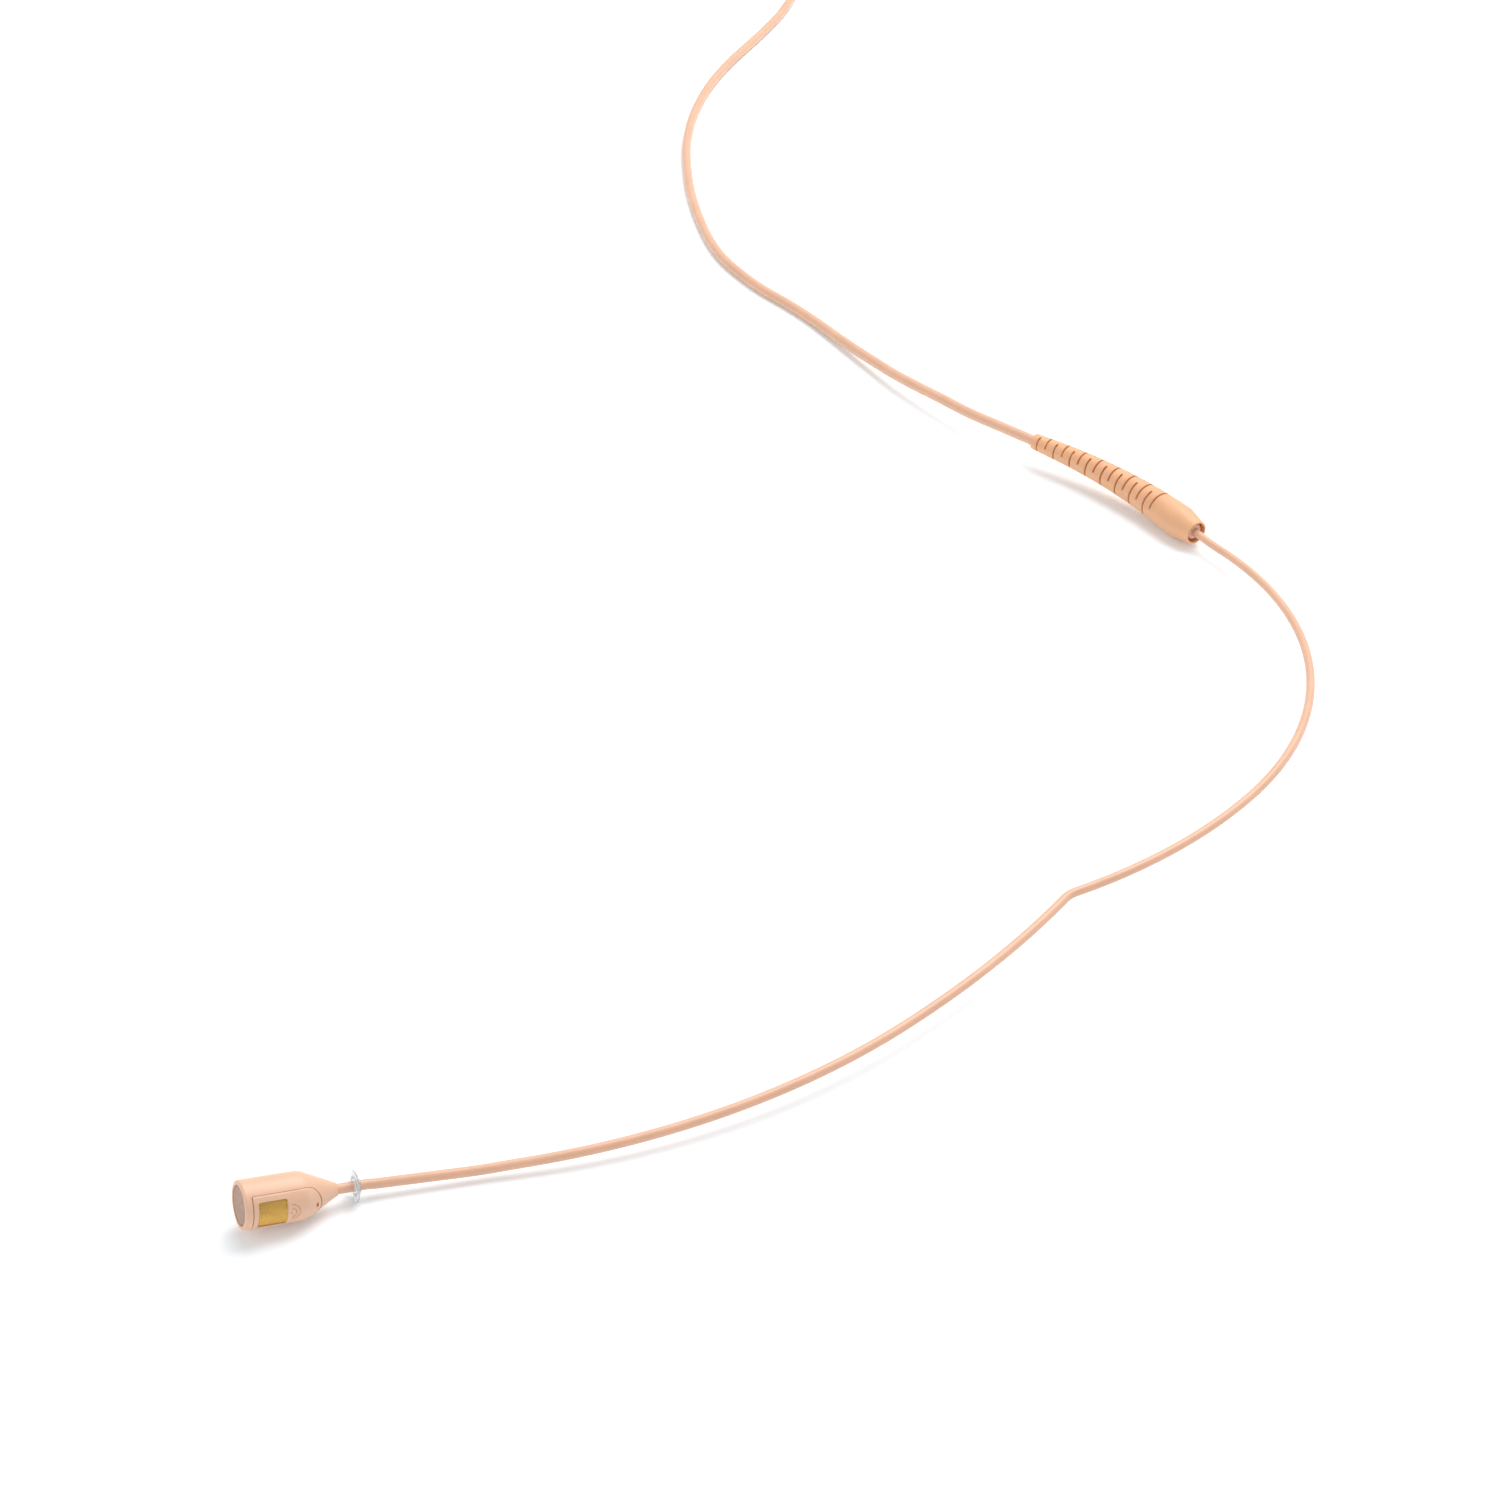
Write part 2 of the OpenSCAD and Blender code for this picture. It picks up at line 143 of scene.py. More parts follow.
def catmull(p, k):
    p = np.asarray(p, float)
    n = len(p)
    out = []
    for i in range(n - 1):
        a, b, c, d = p[max(i - 1, 0)], p[i], p[i + 1], p[min(i + 2, n - 1)]
        for j in range(k):
            t = j / k
            out.append(0.5 * (2 * b + (c - a) * t + (2 * a - 5 * b + 4 * c - d) * t * t + (3 * b - a - 3 * c + d) * t ** 3))
    out.append(p[-1])
    return np.array(out)


def relax(p, rounds, keep=2):
    p = p.copy()
    for _ in range(rounds):
        q = p.copy()
        q[keep:-keep] = 0.5 * p[keep:-keep] + 0.25 * (p[keep - 1:-keep - 1] + p[keep + 1:len(p) - keep + 1])
        p = q
    return p


def coil_path():
    out = []
    n = int(17.25 * 48)
    for i in range(1, n):
        t = 17.25 * i / n
        if t < 4:
            r, z = 12.7 - 1.6 * t, 1.15
        elif t < 4.5:
            r, z = 6.3, 1.15 + 1.6 * (t - 4) / 0.5
        elif t < 8.5:
            r, z = 6.3 + 1.6 * (t - 4.5), 2.75
        elif t < 9:
            r, z = 12.7, 2.75 + 1.6 * (t - 8.5) / 0.5
        elif t < 13:
            r, z = 12.7 - 1.6 * (t - 9), 4.35
        elif t < 13.5:
            r, z = 6.3, 4.35 + 1.6 * (t - 13) / 0.5
        else:
            r, z = 6.3 + 6.4 * (t - 13.5) / 3.75, 5.95
        a = 2 * math.pi * t
        out.append(COIL_C + np.array([r * math.cos(a), r * math.sin(a), z]))
    return np.array(out)


run_in = [at(bent(x), 0) for x in (11, 14, 17, 20, 23, 26, 29.4, 32.9, 34.9)]
run_out = catmull([np.array(p) - ORIGIN for p in RUN], 6)
route = np.concatenate([catmull(run_in, 3), run_out[:-1], coil_path(), catmull([np.array(p) - ORIGIN for p in TAIL], 5)])
route = relax(route, 3)
ROUTE_LEN = float(np.linalg.norm(np.diff(route, axis=0), axis=1).sum())
EXIT = at(bent(32.9), 0)


# ------------------------------------------------------------------ materials
def new_mat(name):
    m = bpy.data.materials.new(name)
    m.use_nodes = True
    nt = m.node_tree
    return m, nt, nt.nodes["Principled BSDF"]


def tex_coord(nt, scale=(1, 1, 1)):
    tc = nt.nodes.new("ShaderNodeTexCoord")
    mp = nt.nodes.new("ShaderNodeMapping")
    mp.inputs["Scale"].default_value = scale
    nt.links.new(tc.outputs["Object"], mp.inputs["Vector"])
    return mp.outputs["Vector"]


def noise(nt, vec, scale, detail=4.0, rough=0.55):
    n = nt.nodes.new("ShaderNodeTexNoise")
    n.inputs["Scale"].default_value = scale
    n.inputs["Detail"].default_value = detail
    n.inputs["Roughness"].default_value = rough
    nt.links.new(vec, n.inputs["Vector"])
    return n


def ramp(nt, fac, stops):
    r = nt.nodes.new("ShaderNodeValToRGB")
    e = r.color_ramp.elements
    e[0].position, e[0].color = stops[0][0], (*stops[0][1], 1)
    e[1].position, e[1].color = stops[-1][0], (*stops[-1][1], 1)
    for p, c in stops[1:-1]:
        x = e.new(p)
        x.color = (*c, 1)
    nt.links.new(fac, r.inputs["Fac"])
    return r


def bump(nt, height, strength, dist=0.0001):
    b = nt.nodes.new("ShaderNodeBump")
    b.inputs["Strength"].default_value = strength
    b.inputs["Distance"].default_value = dist
    nt.links.new(height, b.inputs["Height"])
    return b


def shade(c, k):
    return tuple(min(1.0, x * k) for x in c)


def soft_plastic(name, col, rough=(0.38, 0.5), grain=9000, grain_strength=0.12, var=0.05, sss=0.0, sheen=0.0, edge=None, spec=0.5):
    """Moulded plastic or rubber: faint mottling, fine grain, roughness that varies, and painted shade in the hollows,
    where concave spots such as slots and recesses take a darker colour.
    """
    m, nt, p = new_mat(name)
    v = tex_coord(nt)
    big = noise(nt, v, 260, 3)
    fine = noise(nt, v, grain, 2)
    r = ramp(nt, big.outputs["Fac"], [(0.3, shade(col, 1 - var)), (0.7, shade(col, 1 + var))])
    out = r.outputs["Color"]
    # painted shade: low pointiness picks out concave spots, such as slots, grooves and recesses, and mixes in the
    # darker colour given as edge
    if edge is not None:
        geo = nt.nodes.new("ShaderNodeNewGeometry")
        recess_shade_mask = ramp(nt, geo.outputs["Pointiness"], [(0.44, (1, 1, 1)), (0.495, (0, 0, 0))])
        mix = nt.nodes.new("ShaderNodeMix")
        mix.data_type = "RGBA"
        nt.links.new(recess_shade_mask.outputs["Color"], mix.inputs["Factor"])
        nt.links.new(out, mix.inputs["A"])
        mix.inputs["B"].default_value = (*edge, 1)
        out = mix.outputs["Result"]
    nt.links.new(out, p.inputs["Base Color"])
    rr = nt.nodes.new("ShaderNodeMapRange")
    rr.inputs["To Min"].default_value, rr.inputs["To Max"].default_value = rough
    nt.links.new(noise(nt, v, 900, 3).outputs["Fac"], rr.inputs["Value"])
    nt.links.new(rr.outputs["Result"], p.inputs["Roughness"])
    b = bump(nt, fine.outputs["Fac"], grain_strength, 0.00002)
    nt.links.new(b.outputs["Normal"], p.inputs["Normal"])
    p.inputs["Specular IOR Level"].default_value = spec
    if sss:
        p.inputs["Subsurface Weight"].default_value = sss
        p.inputs["Subsurface Radius"].default_value = (1.0, 0.45, 0.25)
        p.inputs["Subsurface Scale"].default_value = 0.0008
    if sheen:
        p.inputs["Sheen Weight"].default_value = sheen
        p.inputs["Sheen Roughness"].default_value = 0.4
    return m


def metal(name, col, rough=(0.18, 0.34), scratch=1.0):
    m, nt, p = new_mat(name)
    p.inputs["Metallic"].default_value = 1.0
    v = tex_coord(nt, (1, 1, 1))
    v2 = tex_coord(nt, (0.12, 1, 1))
    n = noise(nt, v, 700, 4)
    s = noise(nt, v2, 9000, 3)
    r = ramp(nt, n.outputs["Fac"], [(0.3, shade(col, 0.9)), (0.7, shade(col, 1.05))])
    nt.links.new(r.outputs["Color"], p.inputs["Base Color"])
    rr = nt.nodes.new("ShaderNodeMapRange")
    rr.inputs["To Min"].default_value, rr.inputs["To Max"].default_value = rough
    nt.links.new(s.outputs["Fac"], rr.inputs["Value"])
    nt.links.new(rr.outputs["Result"], p.inputs["Roughness"])
    b = bump(nt, s.outputs["Fac"], 0.15 * scratch, 0.00001)
    nt.links.new(b.outputs["Normal"], p.inputs["Normal"])
    return m


def fibre(name, col, scale=2600):
    m, nt, p = new_mat(name)
    v = tex_coord(nt)
    a = noise(nt, v, scale, 6, 0.7)
    vo = nt.nodes.new("ShaderNodeTexVoronoi")
    vo.inputs["Scale"].default_value = scale * 1.3
    nt.links.new(v, vo.inputs["Vector"])
    r = ramp(nt, a.outputs["Fac"], [(0.25, shade(col, 0.65)), (0.75, shade(col, 1.4))])
    nt.links.new(r.outputs["Color"], p.inputs["Base Color"])
    p.inputs["Roughness"].default_value = 0.92
    p.inputs["Sheen Weight"].default_value = 0.35
    b = bump(nt, vo.outputs["Distance"], 0.6, 0.00006)
    nt.links.new(b.outputs["Normal"], p.inputs["Normal"])
    return m


SKIN = (0.785, 0.483, 0.328)
MAT = {
    # skin_plastic's edge colour is painted shade for the capsule's recesses
    "skin_plastic": soft_plastic("skin_plastic", SKIN, (0.36, 0.48), 12000, 0.10, 0.035, sss=0.12, edge=(0.55, 0.25, 0.13)),
    "skin_jacket": soft_plastic("skin_jacket", (0.75, 0.445, 0.30), (0.30, 0.42), 9000, 0.08, 0.04, sss=0.12),
    # relief_rubber's edge colour is painted shade, darker and more orange, for the boot's slots
    "relief_rubber": soft_plastic("relief_rubber", (0.79, 0.425, 0.23), (0.42, 0.56), 9000, 0.14, 0.04, sss=0.15, edge=(0.55, 0.17, 0.05)),
    "gold_mesh": metal("gold_mesh", (1.0, 0.62, 0.17), (0.2, 0.34)),
    "bright_metal": metal("bright_metal", (0.72, 0.73, 0.75)),
    "gold_metal": metal("gold_metal", (0.86, 0.63, 0.27), (0.14, 0.28)),
    "copper": metal("copper", (0.72, 0.36, 0.18)),
    "film": soft_plastic("film", (0.74, 0.69, 0.5), (0.2, 0.3), 5000, 0.05),
    "white_plastic": soft_plastic("white_plastic", (0.82, 0.82, 0.78), (0.35, 0.45), 6000, 0.08),
    "black_plastic": soft_plastic("black_plastic", (0.03, 0.03, 0.032), (0.4, 0.55), 8000, 0.15, 0.2),
    "black_rubber": soft_plastic("black_rubber", (0.035, 0.035, 0.037), (0.55, 0.7), 7000, 0.25, 0.2),
    "green_board": soft_plastic("green_board", (0.03, 0.16, 0.07), (0.25, 0.4), 3000, 0.1, 0.15),
    "red_sleeve": soft_plastic("red_sleeve", (0.38, 0.03, 0.02), (0.35, 0.5), 5000, 0.1, 0.1),
    "dark_felt": fibre("dark_felt", (0.03, 0.03, 0.032)),
    "dark_tie": fibre("dark_tie", (0.045, 0.045, 0.05), 3200),
}


def screen_mat():
    """Fine acoustic cloth: a tight square weave, greyish beige."""
    m, nt, p = new_mat("front_mesh")
    v = tex_coord(nt)
    w = []
    for axis in ("Y", "Z"):
        t = nt.nodes.new("ShaderNodeTexWave")
        t.wave_type = "BANDS"
        t.bands_direction = axis
        t.inputs["Scale"].default_value = 2600
        nt.links.new(v, t.inputs["Vector"])
        w.append(t)
    mul = nt.nodes.new("ShaderNodeMath")
    mul.operation = "MAXIMUM"
    nt.links.new(w[0].outputs["Fac"], mul.inputs[0])
    nt.links.new(w[1].outputs["Fac"], mul.inputs[1])
    add = nt.nodes.new("ShaderNodeMath")
    add.operation = "MULTIPLY"
    nt.links.new(mul.outputs[0], add.inputs[0])
    nt.links.new(noise(nt, v, 1500, 4).outputs["Fac"], add.inputs[1])
    r = ramp(nt, add.outputs[0], [(0.1, (0.38, 0.225, 0.165)), (0.6, (0.53, 0.335, 0.245))])
    nt.links.new(r.outputs["Color"], p.inputs["Base Color"])
    p.inputs["Roughness"].default_value = 0.62
    b = bump(nt, mul.outputs[0], 0.35, 0.00003)
    nt.links.new(b.outputs["Normal"], p.inputs["Normal"])
    return m


def silicone_mat():
    m, nt, p = new_mat("clear_silicone")
    v = tex_coord(nt)
    n = noise(nt, v, 1400, 3)
    r = ramp(nt, n.outputs["Fac"], [(0.3, (0.95, 0.97, 0.975)), (0.7, (0.98, 0.99, 0.99))])
    nt.links.new(r.outputs["Color"], p.inputs["Base Color"])
    p.inputs["Roughness"].default_value = 0.14
    p.inputs["Transmission Weight"].default_value = 0.75
    p.inputs["IOR"].default_value = 1.41
    b = bump(nt, n.outputs["Fac"], 0.1, 0.00002)
    nt.links.new(b.outputs["Normal"], p.inputs["Normal"])
    return m


MAT["front_mesh"] = screen_mat()
MAT["clear_silicone"] = silicone_mat()

SLOT = {s["node"]: s["material_slot"] for s in frame["record"]["subparts"]}
for name, ob in NODES.items():
    ob.data.materials.clear()
    ob.data.materials.append(MAT[SLOT[name]])


# ------------------------------------------------------------------ mesh helpers
def make(name, verts, faces, mat, body="microphone", node=None, slot=None, sharp=38.0, weld=0.0):
    """A smooth-shaded mesh object from points in mm."""
    me = bpy.data.meshes.new(name)
    me.from_pydata((np.asarray(verts) * MM).tolist(), [], faces)
    bm = bmesh.new()
    bm.from_mesh(me)
    if weld:
        bmesh.ops.remove_doubles(bm, verts=bm.verts, dist=weld * MM)
    bmesh.ops.recalc_face_normals(bm, faces=bm.faces)
    lim = math.radians(sharp)
    for f in bm.faces:
        f.smooth = True
    for e in bm.edges:
        if len(e.link_faces) == 2 and e.calc_face_angle(0) > lim:
            e.smooth = False
    bm.to_mesh(me)
    bm.free()
    ob = bpy.data.objects.new(name, me)
    bpy.context.scene.collection.objects.link(ob)
    me.materials.append(MAT[mat])
    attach(ob, body)
    if node:
        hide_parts(node)
    return ob


def grid_faces(nu, nv, close_u, close_v):
    f = []
    for i in range(nu if close_u else nu - 1):
        a, b = i * nv, ((i + 1) % nu) * nv
        for j in range(nv if close_v else nv - 1):
            k = (j + 1) % nv
            f.append((a + j, a + k, b + k, b + j))
    return f


def fillet(pts, n=4):
    """Points [x, r, radius]: a closed outline with its corners rounded."""
    out = []
    m = len(pts)
    for i in range(m):
        p = np.array(pts[i][:2], float)
        rad = pts[i][2] if len(pts[i]) > 2 else 0
        if not rad:
            out.append(p)
            continue
        a = np.array(pts[i - 1][:2], float) - p
        b = np.array(pts[(i + 1) % m][:2], float) - p
        la, lb = np.linalg.norm(a), np.linalg.norm(b)
        a, b = a / la, b / lb
        ang = math.acos(max(-1, min(1, float(a @ b))))
        d = min(rad / math.tan(ang / 2), 0.45 * la, 0.45 * lb)
        r = d * math.tan(ang / 2)
        c = p + (a + b) / np.linalg.norm(a + b) * (r / math.sin(ang / 2))
        s, e = p + a * d - c, p + b * d - c
        t0 = math.atan2(s[1], s[0])
        t1 = math.atan2(e[1], e[0])
        dt = (t1 - t0 + math.pi) % (2 * math.pi) - math.pi
        for k in range(n + 1):
            t = t0 + dt * k / n
            out.append(c + r * np.array([math.cos(t), math.sin(t)]))
    return np.array(out)


def densify(prof, step):
    out = []
    for i in range(len(prof)):
        a, b = prof[i], prof[(i + 1) % len(prof)]
        n = max(1, int(np.linalg.norm(b - a) / step))
        for k in range(n):
            out.append(a + (b - a) * k / n)
    return np.array(out)


def lathe(name, m, prof, mat, seg=96, disp=None, weld=0.0, along=None, **kw):
    """Turns a closed [x, r] outline about the X axis of placement m, or about the curved axis along(x). disp(x, r, phi) gives the new radius."""
    prof = np.asarray(prof, float)
    phi = np.linspace(0, 2 * math.pi, seg, endpoint=False)
    X = np.repeat(prof[:, :1], seg, 1)
    R = np.repeat(prof[:, 1:2], seg, 1)
    PH = np.repeat(phi[None], len(prof), 0)
    if disp:
        R = disp(X, R, PH)
    P = np.stack([X, R * np.cos(PH), R * np.sin(PH)], -1)
    if along:
        for row, x in zip(P, prof[:, 0]):
            a = along(float(x))
            row[:, 0] = 0
            row[:] = row @ a[:3, :3].T + a[:3, 3]
        P = P.reshape(-1, 3)
    else:
        P = P.reshape(-1, 3) @ m[:3, :3].T + m[:3, 3]
    return make(name, P, grid_faces(len(prof), seg, True, True), mat, weld=weld, **kw)


def sweep(name, frames, ring, mat, **kw):
    """Sweeps a closed ring of (y, z) points along placement matrices, with flat ends."""
    ring = np.asarray(ring, float)
    n = len(ring)
    P = np.concatenate([(np.c_[np.zeros(n), ring] @ f[:3, :3].T + f[:3, 3]) for f in frames])
    f = grid_faces(len(frames), n, False, True)
    f.append(tuple(range(n)))
    f.append(tuple(range(len(P) - 1, len(P) - 1 - n, -1)))
    return make(name, P, f, mat, **kw)


def circle_ring(r, n=28, y=0.0, z=0.0):
    a = np.linspace(0, 2 * math.pi, n, endpoint=False)
    return np.c_[y + r * np.cos(a), z + r * np.sin(a)]


def smoothstep(a, b, x):
    t = np.clip((x - a) / (b - a), 0, 1)
    return t * t * (3 - 2 * t)


# ------------------------------------------------------------------ cable: one open curve of its whole length
def cable():
    cu = bpy.data.curves.new("cable", "CURVE")
    cu.dimensions = "3D"
    sp = cu.splines.new("POLY")
    sp.points.add(len(route) - 1)
    for p, q in zip(sp.points, route):
        p.co = (*(q * MM), 1)
    cu.bevel_depth = 0.0008
    cu.bevel_resolution = 6
    cu.use_fill_caps = True
    cu.splines[0].use_smooth = True
    ob = bpy.data.objects.new("cable", cu)
    bpy.context.scene.collection.objects.link(ob)
    cu.materials.append(MAT["skin_jacket"])
    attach(ob, "microphone")
    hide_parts("cable_run", "cable_coil", "cable_tail")
    return ob


# ------------------------------------------------------------------ capsule
RC, XF, XS = 2.7, -10.8, -4.0
PLATE_F, PLATE_B, PLATE_W = XF + 0.85, XS - 0.38, 2.08
ROLL = 2
WIN_X, WIN_L, WIN_H = PLATE_F + 0.55, 3.15, 1.57


def hull_r(x):
    """Outer radius of the capsule along its axis, with a soft shoulder."""
    x = np.asarray(x, float)
    cone = RC + (0.75 - RC) * (x - XS) / (-0.15 - XS)
    k = 0.18
    return RC + (-(np.sqrt((RC - cone) ** 2 + k * k) + (RC - cone)) / 2 + k / 2 * 0.0) * (x > XS - 3)


def plate_sd(x, t):
    """Signed distance to the side insert's outline, inside negative."""
    dx = np.maximum(PLATE_F - x, x - PLATE_B)
    box = np.maximum(dx, np.abs(t) - PLATE_W)
    cir = np.hypot(x - PLATE_B, t) - PLATE_W
    return np.minimum(box, np.where(x > PLATE_B - 0.01, cir, 9))


def window_sd(x, t):
    cxm, hx, hy, r = WIN_X + WIN_L / 2, WIN_L / 2, WIN_H, 0.25
    qx, qy = np.abs(x - cxm) - (hx - r), np.abs(t) - (hy - r)
    return np.hypot(np.maximum(qx, 0), np.maximum(qy, 0)) + np.minimum(np.maximum(qx, qy), 0) - r


def side_coords(x, r, phi, k):
    """Position seen square on from side k (0 left, 1 right): distance across, and whether on that side."""
    a = math.radians(-ROLL + 180 * k)
    # the side direction is (-cos a, -sin a) in the section plane
    y, z = r * np.cos(phi), r * np.sin(phi)
    across = y * -math.sin(a) + z * math.cos(a)
    out = y * -math.cos(a) + z * -math.sin(a)
    return across, out > 0.3


def housing_disp(X, R, PH):
    outer = (R > hull_r(X) - 0.02) & (X > XF + 0.5) & (X < -0.7)
    R2 = R.copy()
    for k in (0, 1):
        t, on = side_coords(X, R, PH, k)
        sd = plate_sd(X, t)
        g = 1 - smoothstep(0.03, 0.085, sd)
        R2 = np.where(outer & on, np.minimum(R2, R - 0.34 * g), R2)
    return R2


def housing():
    rim = fillet([(XF + 0.32, 2.2, 0), (XF, 2.2, 0.05), (XF, RC, 0.5), (XF + 1.1, RC, 0)], 9)
    xs = np.concatenate([np.linspace(XF + 0.52, PLATE_F - 0.25, 3, endpoint=False), np.linspace(PLATE_F - 0.25, PLATE_F + 0.2, 16, endpoint=False),
                         np.linspace(PLATE_F + 0.2, PLATE_B, 60, endpoint=False), np.linspace(PLATE_B, PLATE_B + PLATE_W + 0.25, 70, endpoint=False),
                         np.linspace(PLATE_B + PLATE_W + 0.25, -0.35, 14)])
    outer = np.c_[xs, hull_r(xs)]
    end = fillet([(-0.4, float(hull_r(-0.4)), 0), (-0.02, 0.70, 0.12), (0.0, 0.585, 0.04), (-0.3, 0.585, 0)], 5)
    inner = np.array([[-1.7, 0.585], [-2.0, 0.95], [XS - 0.21, 2.0], [XF + 0.32, 2.1]])
    prof = np.concatenate([rim[:-1], outer, end[1:], inner])
    return lathe("capsule_shell", M_CAP, prof, "skin_plastic", seg=420, disp=housing_disp, node="capsule_housing")


def side_plate(k):
    cxm = WIN_X + WIN_L / 2
    th = np.linspace(0, 2 * math.pi, 520, endpoint=False)
    # distance from the window's centre to each outline along each ray
    def ray(sd, hi):
        lo_, hi_ = np.zeros_like(th), np.full_like(th, hi)
        for _ in range(40):
            mid = (lo_ + hi_) / 2
            inside = sd(cxm + mid * np.cos(th), mid * np.sin(th)) < 0
            lo_, hi_ = np.where(inside, mid, lo_), np.where(inside, hi_, mid)
        return lo_
    ri, ro = ray(window_sd, 3), ray(plate_sd, 8)
    rows = []
    def row(rad, depth):
        rows.append((cxm + rad * np.cos(th), rad * np.sin(th), depth))
    row(ri, 0.29)
    row(ri, 0.10)
    for q in range(5):
        a = math.pi / 2 * q / 4
        row(ri + 0.07 * (1 - math.cos(a)), 0.07 * (1 - math.sin(a)))
    n = 74
    for q in range(1, n):
        row(ri + 0.08 + (ro - 0.10 - ri - 0.08) * q / n, 0.0)
    for q in range(5):
        a = math.pi / 2 * q / 4
        row(ro - 0.08 + 0.08 * math.sin(a), 0.08 * (1 - math.cos(a)))
    row(ro, 0.29)
    P = []
    a = math.radians(-ROLL + 180 * k)
    side = np.array([0, -math.cos(a), -math.sin(a)])
    across = np.array([0, -math.sin(a), math.cos(a)])
    for x, t, d in rows:
        depth = np.full_like(x, d)
        # two generic engraved arcs and the release notch
        if d == 0.0:
            for r in (0.55, 0.95):
                dist = np.abs(np.hypot(x - (PLATE_F + 4.1), t) - r)
                depth += 0.07 * (1 - smoothstep(0.035, 0.075, dist)) * smoothstep(0.0, 0.08, x - (PLATE_F + 4.1))
            depth += 0.07 * (1 - smoothstep(0.09, 0.14, np.hypot(x - (PLATE_F + 4.1), t)))
            nx, ny = np.abs(x - (PLATE_B + PLATE_W - 0.5)) - 0.09, np.abs(t) - 0.22
            nd = np.hypot(np.maximum(nx, 0), np.maximum(ny, 0)) + np.minimum(np.maximum(nx, ny), 0)
            depth += 0.24 * (1 - smoothstep(-0.01, 0.05, nd))
        r = hull_r(x) - depth
        o = np.sqrt(np.maximum(r * r - t * t, 0.01))
        P.append(np.c_[x, o[:, None] * side[None, 1:] + t[:, None] * across[None, 1:]])
    P = np.concatenate(P) @ M_CAP[:3, :3].T + M_CAP[:3, 3]
    nm = "side_insert_" + ("left", "right")[k]
    return make(nm + "_plate", P, grid_faces(len(rows), len(th), True, True), "skin_plastic", node=nm)


def side_weave(k):
    """Woven wire at 45 degrees, over and under, on the capsule's curve."""
    a = math.radians(-ROLL + 180 * k)
    side = np.array([0, -math.cos(a), -math.sin(a)])
    across = np.array([0, -math.sin(a), math.cos(a)])
    cxm, pitch, wr = WIN_X + WIN_L / 2, 0.205, 0.057
    V, F = [], []
    c45 = math.sqrt(0.5)
    for d in (0, 1):
        u = np.array([c45, c45 if d == 0 else -c45])
        v = np.array([-u[1], u[0]])
        for i in range(-15, 16):
            s = np.linspace(-2.3, 2.3, 190)
            x = cxm + u[0] * s + v[0] * i * pitch
            t = u[1] * s + v[1] * i * pitch
            ok = window_sd(x, t) < 0.01
            if ok.sum() < 6:
                continue
            idx = np.where(ok)[0]
            x, t, s = x[idx], t[idx], s[idx]
            ph = (i + d) * math.pi
            h = 0.03 * np.sin(math.pi * s / pitch + ph + math.pi / 2 * (1 - 2 * d) * 0)
            r = 2.52 + h * (1 if d == 0 else -1)
            o = np.sqrt(r * r - t * t)
            C = np.c_[x, o[:, None] * side[None, 1:] + t[:, None] * across[None, 1:]]
            tg = np.gradient(C, axis=0)
            tg /= np.linalg.norm(tg, axis=1)[:, None]
            rad = C.copy()
            rad[:, 0] = 0
            rad /= np.linalg.norm(rad, axis=1)[:, None]
            bn = np.cross(tg, rad)
            nn = 6
            base = len(V) and sum(len(q) for q in V)
            for j in range(nn):
                b = 2 * math.pi * j / nn
                V.append(C + wr * (math.cos(b) * rad + math.sin(b) * bn))
            m = len(C)
            for j in range(nn):
                j2 = (j + 1) % nn
                for q in range(m - 1):
                    F.append((base + j * m + q, base + j2 * m + q, base + j2 * m + q + 1, base + j * m + q + 1))
            F.append(tuple(base + j * m for j in range(nn)))
            F.append(tuple(base + j * m + m - 1 for j in reversed(range(nn))))
    P = np.concatenate(V) @ M_CAP[:3, :3].T + M_CAP[:3, 3]
    nm = "side_mesh_" + ("left", "right")[k]
    return make(nm + "_weave", P, F, "gold_mesh", node=nm, sharp=80)


def backing(k):
    """Dark felt behind the mesh, so that its holes read dark."""
    a = math.radians(-ROLL + 180 * k)
    side = np.array([0, -math.cos(a), -math.sin(a)])
    across = np.array([0, -math.sin(a), math.cos(a)])
    xs = np.linspace(WIN_X + 0.02, WIN_X + WIN_L - 0.02, 16)
    ts = np.linspace(-WIN_H + 0.02, WIN_H - 0.02, 20)
    P, out = [], []
    for r in (2.44, 2.40):
        for x in xs:
            o = np.sqrt(r * r - ts * ts)
            P.append(np.c_[np.full_like(ts, x), o[:, None] * side[None, 1:] + ts[:, None] * across[None, 1:]])
    P = np.concatenate(P)
    n, m = len(xs), len(ts)
    F = []
    for l in (0, 1):
        for i in range(n - 1):
            for j in range(m - 1):
                q = l * n * m + i * m + j
                F.append((q, q + 1, q + m + 1, q + m) if l == 0 else (q, q + m, q + m + 1, q + 1))
    edge = [i * m for i in range(n)] + [(n - 1) * m + j for j in range(1, m)] + [i * m + m - 1 for i in range(n - 2, -1, -1)] + list(range(m - 2, 0, -1))
    for p, q in zip(edge, edge[1:] + edge[:1]):
        F.append((p, q, q + n * m, p + n * m))
    P = P @ M_CAP[:3, :3].T + M_CAP[:3, 3]
    return make("mesh_backing_" + ("left", "right")[k], P, F, "dark_felt", sharp=50)


def front_disc():
    prof = fillet([(XF + 0.28, 1e-4), (XF + 0.03, 1e-4), (XF + 0.035, 1.2), (XF + 0.055, 1.95, 0.3), (XF + 0.1, 2.18, 0.05), (XF + 0.28, 2.18, 0.03)], 4)
    prof = densify(prof, 0.12)
    return lathe("front_screen_disc", M_CAP, prof, "front_mesh", seg=96, node="front_screen", weld=0.002)


# ------------------------------------------------------------------ boom, disc, strain relief
def boom():
    frames = []
    for (k, a, b), m in zip(BOOM, CHAIN):
        ln = a if k == "s" else a * math.radians(abs(b))
        n = max(2, int(ln / (0.25 if (k == "h" and a < 5) else 0.9)))
        for j in range(n):
            frames.append(m @ seg_m(k, a, b, j / n))
    frames.append(CHAIN[-1])
    return sweep("boom_tube", frames, circle_ring(0.575, 32), "skin_jacket", node="boom_jacket", sharp=60)


